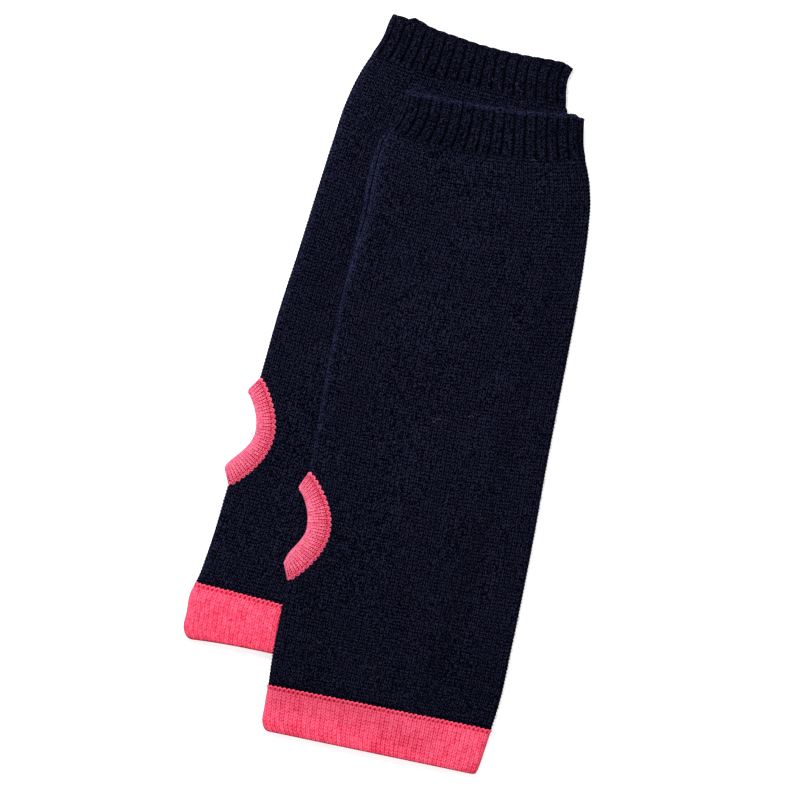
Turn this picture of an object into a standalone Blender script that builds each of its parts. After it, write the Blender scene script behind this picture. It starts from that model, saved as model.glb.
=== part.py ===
# A pair of fine-knit wrist warmers lying flat, the upper one over the lower one.
# Each warmer is a knitted tube pressed flat: a ribbed cuff at the arm end, a plain body with a thumb hole
# in its side fold, a band round the thumb hole and a turned hem at the finger end.
# Metres, +Z up. The origin is on the surface that the pair lies on, at the middle of the pair.

from collections import namedtuple
from math import cos, pi, radians, sin

import bmesh
import bpy
import numpy as np
from mathutils import Matrix, Vector

MM = 0.001  # the sizes below are in millimetres

# The knit
WALL = 1.4              # plain knit of the body and the cuff
HEM_WALL = 2.2          # the hem is turned, so two layers of finer knit
BAND_WALL = 2.2         # the thumb band, turned too
HOLLOW = 0.8            # space between the front and back layers beside the folds
HEM_HOLLOW = 0.6
BAND_HOLLOW = 0.2
BAND_SQUEEZE = 0.5      # the band's end folds stand out by this share of their height
CROWN = 0.6             # how much more the front layer stands up along the middle
CUT_FULLNESS = 0.85     # below 1 the cut for the thumb is rounder than a sine wave
EDGE_FULLNESS = 1.4     # and above 1 the band's free edge is more pointed
MOUTH_LIFT = 0.8        # and more again at the open ends
MOUTH_REACH = 15.0      # how far in from an open end the cloth is lifted
BLEND = 10.0            # length over which the body meets the level of the hem
RIB_RISE = 0.4          # ribs stand this far above the plain knit, grooves as far below
RIBS_ACROSS = 17
RIB_CREST = (0.22, 0.78)  # where a rib's flat top starts and ends, as a share of its width

# How the pieces meet
SEAM_GAP = 0.3
LAY_GAP = 0.5           # the upper warmer lies this far above the lower one
DRAPE_START = 3.5       # outside the lower warmer's edge, the upper one starts to come down here
DRAPE_RUN = 12.0        # and reaches the surface this much further out

# Half the cross-section of the thumb band: a share of its width and a share of half its thickness
BAND_SECTION = [(0.0, 0.6), (0.12, 1.0), (0.5, 1.0), (0.88, 1.0), (1.0, 0.6)]

NAVY = (0.010, 0.010, 0.022, 1)
PINK = (0.80, 0.070, 0.135, 1)

# How finely the cloth is divided
COLUMNS_ACROSS = 20
ROWS_BELOW_THUMB = 4
ROWS_AT_THUMB = 10
ROWS_ABOVE_THUMB = 12
ROW_EASE = 1.4          # above the thumb, rows draw closer towards the cuff
ROWS_IN_BANDS = 3

# A section of a warmer: its height above the finger edge, and where its two side folds lie.
Section = namedtuple("Section", "up thumb_side plain_side")
# A line across a warmer: its height at the thumb side, in the middle and at the plain side.
Line = namedtuple("Line", "thumb middle plain")
# The thumb hole: the ends and depth of the cut in the body, and the free edge of its band.
ThumbHole = namedtuple("ThumbHole", "bottom top depth edge_bottom edge_top edge_side edge_depth")
Warmer = namedtuple("Warmer", "name x y turn sections hem_edge hem_line rib_line cuff_edge thumb_hole")

LOWER = Warmer(
    name="lower", x=-39.6, y=-111.6, turn=17.0,
    sections=[
        Section(up=-1.5, thumb_side=-43.3, plain_side=44.6),
        Section(up=1.5, thumb_side=-45.7, plain_side=45.4),
        Section(up=10, thumb_side=-47.2, plain_side=46.5),
        Section(up=17, thumb_side=-48.0, plain_side=47.2),
        Section(up=24, thumb_side=-46.6, plain_side=47.8),
        Section(up=35, thumb_side=-46.0, plain_side=48.2),
        Section(up=60, thumb_side=-46.2, plain_side=48.5),
        Section(up=110, thumb_side=-46.6, plain_side=48.3),
        Section(up=135, thumb_side=-47.0, plain_side=48.0),
        Section(up=160, thumb_side=-46.5, plain_side=47.8),
        Section(up=210, thumb_side=-46.2, plain_side=47.2),
        Section(up=228, thumb_side=-45.7, plain_side=46.4),
        Section(up=240, thumb_side=-43.9, plain_side=45.2),
        Section(up=247, thumb_side=-42.0, plain_side=43.9),
        Section(up=253, thumb_side=-39.8, plain_side=41.2),
        Section(up=258, thumb_side=-38.5, plain_side=39.6),
        Section(up=263, thumb_side=-38.1, plain_side=38.8),
        Section(up=269, thumb_side=-37.5, plain_side=39.8),
    ],
    hem_edge=Line(thumb=-0.6, middle=4.0, plain=4.4),
    hem_line=Line(thumb=22.2, middle=24.0, plain=24.4),
    rib_line=Line(thumb=248.8, middle=247.8, plain=251.6),
    cuff_edge=Line(thumb=267.6, middle=266.1, plain=269.2),
    thumb_hole=ThumbHole(bottom=64.5, top=109.4, depth=12.5,
                         edge_bottom=71.7, edge_top=102.4, edge_side=-49.2, edge_depth=7.4),
)

UPPER = Warmer(
    name="upper", x=-6.9, y=-145.5, turn=11.4,
    sections=[
        Section(up=-1.5, thumb_side=-43.0, plain_side=44.0),
        Section(up=1.5, thumb_side=-45.0, plain_side=44.7),
        Section(up=10, thumb_side=-46.0, plain_side=45.9),
        Section(up=18, thumb_side=-46.2, plain_side=46.8),
        Section(up=30, thumb_side=-46.8, plain_side=48.1),
        Section(up=50, thumb_side=-47.0, plain_side=48.5),
        Section(up=100, thumb_side=-47.0, plain_side=48.5),
        Section(up=125, thumb_side=-47.6, plain_side=47.9),
        Section(up=150, thumb_side=-48.2, plain_side=47.6),
        Section(up=175, thumb_side=-48.3, plain_side=47.4),
        Section(up=195, thumb_side=-47.8, plain_side=47.1),
        Section(up=212, thumb_side=-47.0, plain_side=46.4),
        Section(up=228, thumb_side=-47.7, plain_side=45.3),
        Section(up=238, thumb_side=-47.4, plain_side=43.9),
        Section(up=247, thumb_side=-45.2, plain_side=41.4),
        Section(up=252, thumb_side=-42.0, plain_side=39.3),
        Section(up=258, thumb_side=-39.9, plain_side=36.7),
        Section(up=265, thumb_side=-39.3, plain_side=35.1),
        Section(up=272, thumb_side=-39.3, plain_side=34.1),
    ],
    hem_edge=Line(thumb=-0.4, middle=-0.6, plain=-1.0),
    hem_line=Line(thumb=18.4, middle=18.6, plain=18.0),
    rib_line=Line(thumb=249.0, middle=246.6, plain=253.4),
    cuff_edge=Line(thumb=267.4, middle=267.6, plain=271.2),
    thumb_hole=ThumbHole(bottom=62.2, top=106.5, depth=13.2,
                         edge_bottom=70.0, edge_top=98.6, edge_side=-49.3, edge_depth=6.6),
)

# A column of the cloth round a warmer: its place across, its direction out of the flat tube's middle line
# (180 points to the thumb side, 90 up, 0 to the plain side), and whether it is on a rib or in a groove.
Column = namedtuple("Column", "across angle rib")
# The tube's make at one height: height of its middle, and radius to the middle of the wall.
Level = namedtuple("Level", "middle radius")

HEM_LEVEL = Level(middle=HEM_WALL + HEM_HOLLOW / 2, radius=(HEM_WALL + HEM_HOLLOW) / 2)
BODY_LEVEL = Level(middle=WALL + HOLLOW / 2, radius=(WALL + HOLLOW) / 2)
BAND_RADIUS = (BAND_WALL + BAND_HOLLOW) / 2
BAND_MIDDLE = BAND_RADIUS + BAND_WALL / 2   # height of the middle of the folded band
BAND_FOLD = BAND_MIDDLE * BAND_SQUEEZE      # how far its end folds stand out

# The columns that round the side folds
THUMB_FOLD_TOP = [Column(across=0, angle=180, rib=0), Column(across=0, angle=135, rib=0)]
PLAIN_FOLD = [Column(across=1, angle=angle, rib=0) for angle in (45, 0, -45)]
THUMB_FOLD_UNDER = [Column(across=0, angle=-135, rib=0), Column(across=0, angle=-180, rib=0)]


def smooth_step(share):
    share = min(max(share, 0.0), 1.0)
    return share * share * (3 - 2 * share)


def mix(start, end, share):
    return start + (end - start) * share


def side_at(warmer, side, up):
    """Reads a side of the section table at any height, with a smooth curve between its rows."""
    ups = np.array([section.up for section in warmer.sections], dtype=float)
    places = np.array([getattr(section, side) for section in warmer.sections])
    slopes = np.gradient(places, ups)
    row = int(np.clip(np.searchsorted(ups, up) - 1, 0, len(ups) - 2))
    span = ups[row + 1] - ups[row]
    t = min(max((up - ups[row]) / span, 0.0), 1.0)
    ends = places[row] * (1 + 2 * t) * (1 - t) ** 2 + places[row + 1] * t * t * (3 - 2 * t)
    bend = slopes[row] * t * (1 - t) ** 2 - slopes[row + 1] * t * t * (1 - t)
    return float(ends + bend * span)


def height_on(line, across):
    """Height of a line across the warmer: 0 is the thumb side, 1 the plain side."""
    return (line.thumb * (1 - across) * (1 - 2 * across)
            + line.middle * 4 * across * (1 - across)
            + line.plain * across * (2 * across - 1))


def cloth_lift(warmer, up, across):
    """How far the front layer stands up between the folds, more so near the open ends."""
    to_end = min(height_on(warmer.cuff_edge, across) - up, up - height_on(warmer.hem_edge, across))
    mouth = MOUTH_LIFT * smooth_step(1 - to_end / MOUTH_REACH)
    return (CROWN + mouth) * 4 * across * (1 - across)


def top_height(warmer, up, across):
    """Height of a warmer's upper face, smoothed over its seams, for what lies on it."""
    body = 2 * BODY_LEVEL.middle
    near_hem = smooth_step((height_on(warmer.hem_line, across) + 1.3 * BLEND - up) / BLEND)
    near_cuff = smooth_step((up - height_on(warmer.rib_line, across) + BLEND) / BLEND)
    level = body + (2 * HEM_LEVEL.middle - body) * near_hem + RIB_RISE * near_cuff
    return level + cloth_lift(warmer, up, across)


def placement(warmer):
    return Matrix.Translation((warmer.x, warmer.y, 0)) @ Matrix.Rotation(radians(-warmer.turn), 4, "Z")


def resting_height(warmer, x, up):
    """What lies under the upper warmer's cloth: the lower warmer, a slope beside it, or the bare surface."""
    if warmer is LOWER:
        return 0.0
    spot = placement(LOWER).inverted() @ placement(warmer) @ Vector((x, up, 0))
    thumb_side = side_at(LOWER, "thumb_side", spot.y)
    plain_side = side_at(LOWER, "plain_side", spot.y)
    across = min(max((spot.x - thumb_side) / (plain_side - thumb_side), 0.0), 1.0)
    outside = max(thumb_side - spot.x, spot.x - plain_side,
                  spot.y - height_on(LOWER.cuff_edge, across),
                  height_on(LOWER.hem_edge, across) - spot.y)
    cover = 1 - smooth_step((outside - DRAPE_START) / DRAPE_RUN)
    return (top_height(LOWER, spot.y, across) + LAY_GAP) * cover


def plain_columns():
    """Columns round a plain tube: over the front from the thumb side, and back underneath."""
    inner = [step / COLUMNS_ACROSS for step in range(1, COLUMNS_ACROSS)]
    front = [Column(across, 90, 0) for across in [0] + inner + [1]]
    back = [Column(across, -90, 0) for across in [1] + inner[::-1] + [0]]
    return THUMB_FOLD_TOP + front + PLAIN_FOLD + back + THUMB_FOLD_UNDER


def ribbed_columns():
    """The same for the cuff, with ribs over the front; its underside rests flat and stays plain."""
    front = [Column(0, 90, -1)]
    for rib in range(RIBS_ACROSS):
        crests = [Column((rib + crest) / RIBS_ACROSS, 90, 1) for crest in RIB_CREST]
        front += crests + [Column((rib + 1) / RIBS_ACROSS, 90, -1)]
    steps = COLUMNS_ACROSS // 2
    back = [Column(1 - step / steps, -90, 0) for step in range(steps + 1)]
    return THUMB_FOLD_TOP + front + PLAIN_FOLD + back + THUMB_FOLD_UNDER


def notch_depth(hole, share):
    """Depth of the cut for the thumb, from its bottom at 0 to its top at 1."""
    return BAND_FOLD + (hole.depth - BAND_FOLD) * sin(pi * share) ** CUT_FULLNESS


def edge_depth(hole, share):
    """Depth of the band's free edge, from the bottom to the top."""
    return BAND_FOLD + (hole.edge_depth - BAND_FOLD) * sin(pi * share) ** EDGE_FULLNESS


def notch_shares():
    """Even turns of a half circle, so the rows are closest at the ends of the thumb hole."""
    return [(1 - cos(pi * row / ROWS_AT_THUMB)) / 2 for row in range(ROWS_AT_THUMB + 1)]


def cut_place(warmer, share):
    """Where the thumb band's sewn edge lies: its place across and its height."""
    hole = warmer.thumb_hole
    up = mix(hole.bottom, hole.top, share)
    return side_at(warmer, "thumb_side", up) + notch_depth(hole, share), up


def body_level(warmer, up, across):
    """The body tube's make, which rises to meet the thicker hem."""
    near_hem = smooth_step((height_on(warmer.hem_line, across) + BLEND - up) / BLEND)
    return Level(mix(BODY_LEVEL.middle, HEM_LEVEL.middle, near_hem),
                 mix(BODY_LEVEL.radius, HEM_LEVEL.radius, near_hem))


def cloth_point(warmer, column, up, cut, level, wall, face):
    """A point of a tube's wall: face is 1 on its outer face and -1 on its inner face."""
    angle = radians(column.angle)
    radius = level.radius + face * wall / 2
    reach = level.radius + wall / 2     # from the fold's outermost line to the flat part
    low = side_at(warmer, "thumb_side", up) if cut is None else cut
    high = side_at(warmer, "plain_side", up)
    x = mix(low + reach, high - reach, column.across) + radius * cos(angle)
    z = level.middle + radius * sin(angle)
    front = column.angle > 0
    if cut is not None and column.across == 0:
        x = low + reach * (1 + cos(angle))
        z = level.middle + (radius if front else -radius)
    if face > 0:
        z += RIB_RISE * column.rib
    if front:
        z += cloth_lift(warmer, up, column.across)
    return Vector((x, up, z))


def close_wall(outer, inner, slit_rows):
    """Joins the rings of a wall's two faces into one closed shell, open along the slit rows."""
    shell = bmesh.new()
    rows = range(len(outer))

    def add_ring(points, is_slit):
        if is_slit:
            return [shell.verts.new(point) for point in points]
        ring = [shell.verts.new(point) for point in points[:-1]]
        return ring + ring[:1]

    skins = [[add_ring(face[row], row in slit_rows) for row in rows] for face in (outer, inner)]
    last = len(outer[0]) - 1
    for skin in skins:
        for lower_ring, upper_ring in zip(skin, skin[1:]):
            for column in range(last):
                shell.faces.new((lower_ring[column], lower_ring[column + 1],
                                 upper_ring[column + 1], upper_ring[column]))
    outside, inside = skins
    for row in (0, -1):
        for column in range(last):
            shell.faces.new((outside[row][column], outside[row][column + 1],
                             inside[row][column + 1], inside[row][column]))
    for row in rows[:-1]:
        if row in slit_rows or row + 1 in slit_rows:
            for column in (0, last):
                shell.faces.new((outside[row][column], outside[row + 1][column],
                                 inside[row + 1][column], inside[row][column]))
    bmesh.ops.recalc_face_normals(shell, faces=shell.faces)
    return shell


def lay_down(points, warmer):
    """Lifts cloth onto what lies under it, and turns millimetres into metres."""
    return [Vector((x, up, z + resting_height(warmer, x, up))) * MM for x, up, z in points]


def make_object(name, shell, material, parent):
    mesh = bpy.data.meshes.new(name)
    shell.to_mesh(mesh)
    shell.free()
    mesh.shade_smooth()
    mesh.set_sharp_from_angle(angle=radians(40))
    mesh.materials.append(material)
    piece = bpy.data.objects.new(name, mesh)
    piece.parent = parent
    bpy.context.collection.objects.link(piece)
    return piece


def make_tube(name, warmer, ends, rows, columns, wall, level_at, material, parent):
    """Makes one piece of a warmer between two lines, from rows of a share of the way and a place of the cut."""
    (start, start_gap), (end, end_gap) = ends
    faces = {1: [], -1: []}
    for share, cut in rows:
        for face, rings in faces.items():
            ring = []
            for column in columns:
                up = mix(height_on(start, column.across) + start_gap,
                         height_on(end, column.across) - end_gap, share)
                level = level_at(warmer, up, column.across)
                ring.append(cloth_point(warmer, column, up, cut, level, wall, face))
            rings.append(lay_down(ring, warmer))
    slit_rows = {number for number, (share, cut) in enumerate(rows) if cut is not None}
    return make_object(name, close_wall(faces[1], faces[-1], slit_rows), material, parent)


def even_rows(count):
    return [(row / count, None) for row in range(count + 1)]


def body_rows(warmer):
    """Rows of the body from the hem to the ribs, slit at the thumb hole."""
    start = height_on(warmer.hem_line, 0) + SEAM_GAP / 2
    end = height_on(warmer.rib_line, 0) - SEAM_GAP / 2
    hole = warmer.thumb_hole
    below, above = hole.bottom - 2 * SEAM_GAP, hole.top + 2 * SEAM_GAP
    heights = [(mix(start, below, row / ROWS_BELOW_THUMB), None) for row in range(ROWS_BELOW_THUMB + 1)]
    heights.append((hole.bottom - SEAM_GAP, cut_place(warmer, 0)[0] + SEAM_GAP))
    for share in notch_shares()[1:-1]:
        x, up = cut_place(warmer, share)
        heights.append((up, x + SEAM_GAP))
    heights.append((hole.top + SEAM_GAP, cut_place(warmer, 1)[0] + SEAM_GAP))
    for row in range(ROWS_ABOVE_THUMB + 1):
        heights.append((mix(above, end, 1 - (1 - row / ROWS_ABOVE_THUMB) ** ROW_EASE), None))
    return [((up - start) / (end - start), cut) for up, cut in heights]


def make_thumb_band(name, warmer, material, parent):
    """A flat bar run round the thumb hole: over the front, round the top fold, back underneath."""
    hole = warmer.thumb_hole
    shares = notch_shares()
    ring = [(share, 90) for share in shares] + [(1, 135), (1, 180), (1, -135)]
    ring += [(share, -90) for share in shares[::-1]] + [(0, -135), (0, 180), (0, 135)]
    bar = BAND_SECTION + [(width, -thick) for width, thick in BAND_SECTION[::-1]]
    band = bmesh.new()
    loops = []
    for share, degrees in ring:
        angle = radians(degrees)
        sewn_x, sewn_up = cut_place(warmer, share)
        free_x = hole.edge_side + edge_depth(hole, share)
        free_up = mix(hole.edge_bottom, hole.edge_top, share)
        points = []
        for width, thick in bar:
            radius = BAND_RADIUS + thick * BAND_WALL / 2
            points.append(Vector((mix(sewn_x, free_x, width) + radius * cos(angle) * BAND_SQUEEZE,
                                  mix(sewn_up, free_up, width),
                                  BAND_MIDDLE + radius * sin(angle))))
        loops.append([band.verts.new(point) for point in lay_down(points, warmer)])
    for near, far in zip(loops, loops[1:] + loops[:1]):
        for corner in range(len(bar)):
            after = (corner + 1) % len(bar)
            band.faces.new((near[corner], near[after], far[after], far[corner]))
    bmesh.ops.recalc_face_normals(band, faces=band.faces)
    return make_object(name, band, material, parent)


def make_knit(name, colour, roughness):
    material = bpy.data.materials.new(name)
    material.use_nodes = True
    shader = material.node_tree.nodes["Principled BSDF"]
    shader.inputs["Base Color"].default_value = colour
    shader.inputs["Roughness"].default_value = roughness
    shader.inputs["Metallic"].default_value = 0.0
    return material


def make_warmer(warmer):
    place = bpy.data.objects.new(f"{warmer.name}_warmer_place", None)
    place.location = (warmer.x * MM, warmer.y * MM, 0)
    place.rotation_euler = (0, 0, radians(-warmer.turn))
    bpy.context.collection.objects.link(place)
    seam = SEAM_GAP / 2
    plain, ribbed = plain_columns(), ribbed_columns()
    make_tube(f"{warmer.name}_hem_band", warmer, ((warmer.hem_edge, 0), (warmer.hem_line, seam)),
              even_rows(ROWS_IN_BANDS), plain, HEM_WALL, lambda *_: HEM_LEVEL,
              make_knit(f"{warmer.name}_hem_wool", PINK, 0.9), place)
    make_tube(f"{warmer.name}_body", warmer, ((warmer.hem_line, seam), (warmer.rib_line, seam)),
              body_rows(warmer), plain, WALL, body_level,
              make_knit(f"{warmer.name}_body_wool", NAVY, 0.92), place)
    make_tube(f"{warmer.name}_rib_cuff", warmer, ((warmer.rib_line, seam), (warmer.cuff_edge, 0)),
              even_rows(ROWS_IN_BANDS), ribbed, WALL, lambda *_: BODY_LEVEL,
              make_knit(f"{warmer.name}_cuff_wool", NAVY, 0.92), place)
    make_thumb_band(f"{warmer.name}_thumb_band", warmer,
                    make_knit(f"{warmer.name}_thumb_wool", PINK, 0.9), place)


for old in list(bpy.data.objects):
    bpy.data.objects.remove(old)
make_warmer(LOWER)
make_warmer(UPPER)
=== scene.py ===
import math
from functools import partial

import bmesh
import bpy
import numpy as np
from mathutils import Matrix, Vector


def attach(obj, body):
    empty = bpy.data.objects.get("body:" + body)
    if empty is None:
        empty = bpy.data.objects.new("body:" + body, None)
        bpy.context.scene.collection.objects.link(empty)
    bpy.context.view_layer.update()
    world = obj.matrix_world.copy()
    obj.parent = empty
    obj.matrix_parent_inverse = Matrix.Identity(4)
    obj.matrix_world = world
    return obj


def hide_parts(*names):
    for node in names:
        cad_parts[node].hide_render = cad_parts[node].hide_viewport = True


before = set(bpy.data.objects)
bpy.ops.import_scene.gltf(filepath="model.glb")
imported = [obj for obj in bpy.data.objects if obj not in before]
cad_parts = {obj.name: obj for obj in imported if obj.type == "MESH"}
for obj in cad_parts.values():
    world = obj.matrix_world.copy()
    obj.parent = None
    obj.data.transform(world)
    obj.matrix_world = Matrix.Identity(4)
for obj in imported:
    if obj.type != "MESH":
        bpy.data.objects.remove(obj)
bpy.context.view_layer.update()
print("frame loaded with", len(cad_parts), "solids")

# Sizes are in millimetres. Each warmer has its own frame: x goes from the thumb fold to the plain fold,
# and "up" from the finger edge to the cuff.
mm = 0.001

# The make of the cloth, as in the solids
make = {
    "wall": 1.4,
    "hemWall": 2.2,
    "bandWall": 2.2,
    "hollow": 0.8,
    "hemHollow": 0.6,
    "bandHollow": 0.2,
    "bandSqueeze": 0.5,     # the band's end folds stand out by this share of their height
    "crown": 0.6,           # the front layer stands up this much along the middle
    "mouthLift": 0.8,       # and this much more at the open ends
    "mouthReach": 15.0,
    "blend": 10.0,          # length over which the body meets the level of the hem
    "blendAbove": 1.3,      # its front layer does so up to this many such lengths above the hem line
    "cutFullness": 0.85,
    "seamGap": 0.3,
    "ribRise": 0.4,
    "layGap": 0.5,          # between the two warmers
    "drapeStart": 3.5,      # outside the lower warmer's edge, where the upper one starts to come down
    "drapeRun": 12.0,
    "drapeLow": 1.7,        # beside the hem it takes this many times as long
    "drapeLowReach": 20.0,
}

# Each warmer: place and turn of its frame, its side folds (height, thumb side, plain side), its lines across
# (height at the thumb side, in the middle and at the plain side) and its thumb hole.
lowerWarmer = {
    "name": "lower",
    "x": -39.6,
    "y": -111.6,
    "turn": 17.0,
    "folds": [
        (-1.5, -43.3, 44.6), (1.5, -45.7, 45.4), (10, -47.2, 46.5), (17, -48.0, 47.2), (24, -46.6, 47.8),
        (35, -46.0, 48.2), (60, -46.2, 48.5), (110, -46.6, 48.3), (135, -47.0, 48.0), (160, -46.5, 47.8),
        (210, -46.2, 47.2), (228, -45.7, 46.4), (240, -43.9, 45.2), (247, -42.0, 43.9), (253, -39.8, 41.2),
        (258, -38.5, 39.6), (263, -38.1, 38.8), (269, -37.5, 39.8),
    ],
    "hemEdge": (-0.6, 4.0, 4.4),
    "hemLine": (22.2, 24.0, 24.4),
    "ribLine": (248.8, 247.8, 251.6),
    "cuffEdge": (267.6, 266.1, 269.2),
    "hole": {"bottom": 64.5, "top": 109.4, "depth": 12.5,
             "edgeBottom": 71.7, "edgeTop": 102.4, "edgeSide": -49.5, "edgeDepth": 7.7,
             "edgeStart": 0.2, "fullBelow": 1.25, "fullAbove": 0.8},
    # extra height of the cuff's edge, by share across
    "cuffWave": [(0, 0.2), (0.07, 0.7), (0.095, 1.8), (0.13, 1.65), (0.17, 0.95), (0.22, 0.5), (0.36, 0.4),
                 (0.47, 0.1), (0.62, 0.1), (0.75, 0.35), (0.88, 0.7), (0.95, 0.5), (0.98, -0.1), (1, -1.1)],
    # the side seam: height, how far round from the thumb fold it lies, how open it is, and its pale band of
    # nap with a painted highlight
    "seam": [(0, -1.5, 0.8, 0.3), (25, -1.5, 0.8, 0.4), (52, 0.0, 0.3, 0.4), (122, 0.0, 0.3, 0.5),
             (150, -1.5, 0.8, 0.6), (200, -2.0, 0.8, 0.7), (250, -2.0, 0.8, 0.9), (270, -2.0, 0.8, 0.3)],
    "ribs": (-3.09, 14.68, 32.91),      # rib count at the seam, at the plain fold, and all round
    "rimNapAndLight": -0.3,         # pale nap and painted highlight on the cuff's edge, painted shade where below zero
    "hemStitch": 0.45,      # how clearly the hem's stitches show
    "lowShade": 0.0,        # painted shade: how much darker the body is low down
    "hemLean": -0.09,       # the hem's wales lean this much from the warmer's own line
    "seed": 11,
}
upperWarmer = {
    "name": "upper",
    "x": -6.9,
    "y": -145.5,
    "turn": 11.4,
    "folds": [
        (-1.5, -43.0, 44.0), (1.5, -45.0, 44.7), (10, -46.0, 45.9), (18, -46.2, 46.8), (30, -46.8, 48.1),
        (50, -47.0, 48.5), (100, -47.0, 48.5), (125, -47.6, 47.9), (150, -48.2, 47.6), (175, -48.3, 47.4),
        (195, -47.8, 47.1), (212, -47.0, 46.4), (228, -47.7, 45.3), (238, -47.4, 43.9), (247, -45.2, 41.4),
        (252, -42.0, 39.3), (258, -39.9, 36.7), (265, -39.3, 35.1), (272, -39.3, 34.1),
    ],
    "hemEdge": (-0.4, -0.6, -1.0),
    "hemLine": (18.4, 18.6, 18.0),
    "ribLine": (249.0, 246.6, 253.4),
    "cuffEdge": (267.4, 267.6, 271.2),
    "hole": {"bottom": 62.2, "top": 106.5, "depth": 13.2,
             "edgeBottom": 70.0, "edgeTop": 98.6, "edgeSide": -49.5, "edgeDepth": 6.2,
             "edgeStart": 0.2, "fullBelow": 1.6, "fullAbove": 0.72},
    "cuffWave": [(0, 0), (0.9, 0.1), (0.95, 0.4), (0.98, 0.1), (1, -0.9)],
    "seam": [(0, 0.0, 0.1, 0.25), (105, 0.0, 0.1, 0.5), (125, 0.0, 0.15, 0.9), (170, 0.0, 0.2, 1.0),
             (188, 0.8, 0.35, 1.1), (200, 1.6, 0.8, 1.1), (206, 2.4, 1.0, 1.1), (216, 3.3, 1.0, 1.1),
             (229, 3.8, 0.9, 1.0), (238, 3.9, 0.7, 1.0), (246, 3.0, 0.5, 0.9), (252, 2.4, 1.0, 0.8),
             (270, 2.2, 1.3, 0.7)],
    "ribs": (-2.35, 15.15, 33.65),
    "rimNapAndLight": 1.1,
    "hemStitch": 0.85,
    "lowShade": 0.16,
    "hemLean": -0.08,
    "seed": 23,
}

bodyRadius = make["wall"] + make["hollow"] / 2          # outer radius of the side folds
hemRadius = make["hemWall"] + make["hemHollow"] / 2
bandRadius = (make["bandWall"] + make["bandHollow"]) / 2  # to the middle of one layer of the thumb band
bandMiddle = bandRadius + make["bandWall"] / 2
bandFold = bandMiddle * make["bandSqueeze"]             # from the band's end fold to the thumb fold's line


def smoothStep(share):
    share = np.clip(share, 0.0, 1.0)
    return share * share * (3 - 2 * share)


def mix(start, end, share):
    return start + (end - start) * share


def hump(value, middle, width):
    return np.exp(-((value - middle) / width) ** 2)


def arches(count, power):
    # round arches side by side, one from each whole number to the next
    return np.abs(np.sin(math.pi * count)) ** power


def foldAt(warmer, side, up):
    # side 1 is the thumb fold, 2 the plain fold: a smooth curve through the rows
    rows = np.array(warmer["folds"], dtype=float)
    ups = rows[:, 0]
    places = rows[:, side]
    slopes = np.gradient(places, ups)
    row = np.clip(np.searchsorted(ups, up) - 1, 0, len(ups) - 2)
    span = ups[row + 1] - ups[row]
    t = np.clip((up - ups[row]) / span, 0, 1)
    ends = places[row] * (1 + 2 * t) * (1 - t) ** 2 + places[row + 1] * t * t * (3 - 2 * t)
    bend = slopes[row] * t * (1 - t) ** 2 - slopes[row + 1] * t * t * (1 - t)
    return ends + bend * span


def heightOn(line, across):
    thumb, middle, plain = line
    return (thumb * (1 - across) * (1 - 2 * across)
            + middle * 4 * across * (1 - across)
            + plain * across * (2 * across - 1))


def clothLift(warmer, up, across):
    toEnd = np.minimum(heightOn(warmer["cuffEdge"], across) - up, up - heightOn(warmer["hemEdge"], across))
    mouth = make["mouthLift"] * smoothStep(1 - toEnd / make["mouthReach"])
    return (make["crown"] + mouth) * 4 * across * (1 - across)


def topHeight(warmer, up, across):
    blendTop = heightOn(warmer["hemLine"], across) + make["blendAbove"] * make["blend"]
    nearHem = smoothStep((blendTop - up) / make["blend"])
    nearCuff = smoothStep((up - heightOn(warmer["ribLine"], across) + make["blend"]) / make["blend"])
    level = mix(2 * bodyRadius, 2 * hemRadius, nearHem) + make["ribRise"] * nearCuff
    return level + clothLift(warmer, up, across)


def toTable(warmer, x, up):
    # from a warmer's own frame to the surface that the pair lies on
    turn = math.radians(-warmer["turn"])
    return (warmer["x"] + x * math.cos(turn) - up * math.sin(turn),
            warmer["y"] + x * math.sin(turn) + up * math.cos(turn))


def fromTable(warmer, x, y):
    turn = math.radians(warmer["turn"])
    x = x - warmer["x"]
    y = y - warmer["y"]
    return x * math.cos(turn) - y * math.sin(turn), x * math.sin(turn) + y * math.cos(turn)


def restingHeight(warmer, x, up):
    # what lies under the upper warmer: the lower one, a slope beside it, or the bare surface
    if warmer is lowerWarmer:
        return np.zeros_like(x)
    x, up = fromTable(lowerWarmer, *toTable(warmer, x, up))
    thumb = foldAt(lowerWarmer, 1, up)
    plain = foldAt(lowerWarmer, 2, up)
    across = np.clip((x - thumb) / (plain - thumb), 0, 1)
    outside = np.maximum.reduce([thumb - x, x - plain, up - heightOn(lowerWarmer["cuffEdge"], across),
                                 heightOn(lowerWarmer["hemEdge"], across) - up])
    low = smoothStep(1 - up / make["drapeLowReach"])
    run = mix(make["drapeRun"], make["drapeLow"] * make["drapeRun"], low)
    cover = 1 - smoothStep((outside - make["drapeStart"]) / run)
    return (topHeight(lowerWarmer, up, across) + make["layGap"]) * cover


def onTable(warmer, x, up, z, lowest=0.0):
    # the points as they lie on the table, no lower than the lowest
    return np.stack([*toTable(warmer, x, up), np.maximum(z, lowest)], axis=1)


def stadium(walk, width, radius, offset):
    # Walks round a flat tube's section from its thumb fold, over the top first, in millimetres.
    # Gives the place across, the height over the middle, the share across the flat part, and whether on top.
    straight = width - 2 * radius
    quarter = math.pi / 2 * radius
    total = 2 * straight + 4 * quarter
    walk = np.where(walk > total, walk - total, walk)
    walk = np.where(walk < 0, walk + total, walk)
    onTop = walk <= total / 2
    walk = np.where(onTop, walk, total - walk)
    nearAngle = np.clip(walk, 0, quarter) / radius
    farAngle = np.clip(walk - quarter - straight, 0, quarter) / radius
    along = np.clip(walk - quarter, 0, straight)
    reach = radius + offset
    place = radius - reach * np.cos(nearAngle) + along + reach * np.sin(farAngle)
    height = reach * np.sin(nearAngle) * np.cos(farAngle)
    return place, np.where(onTop, height, -height), along / straight, onTop


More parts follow.
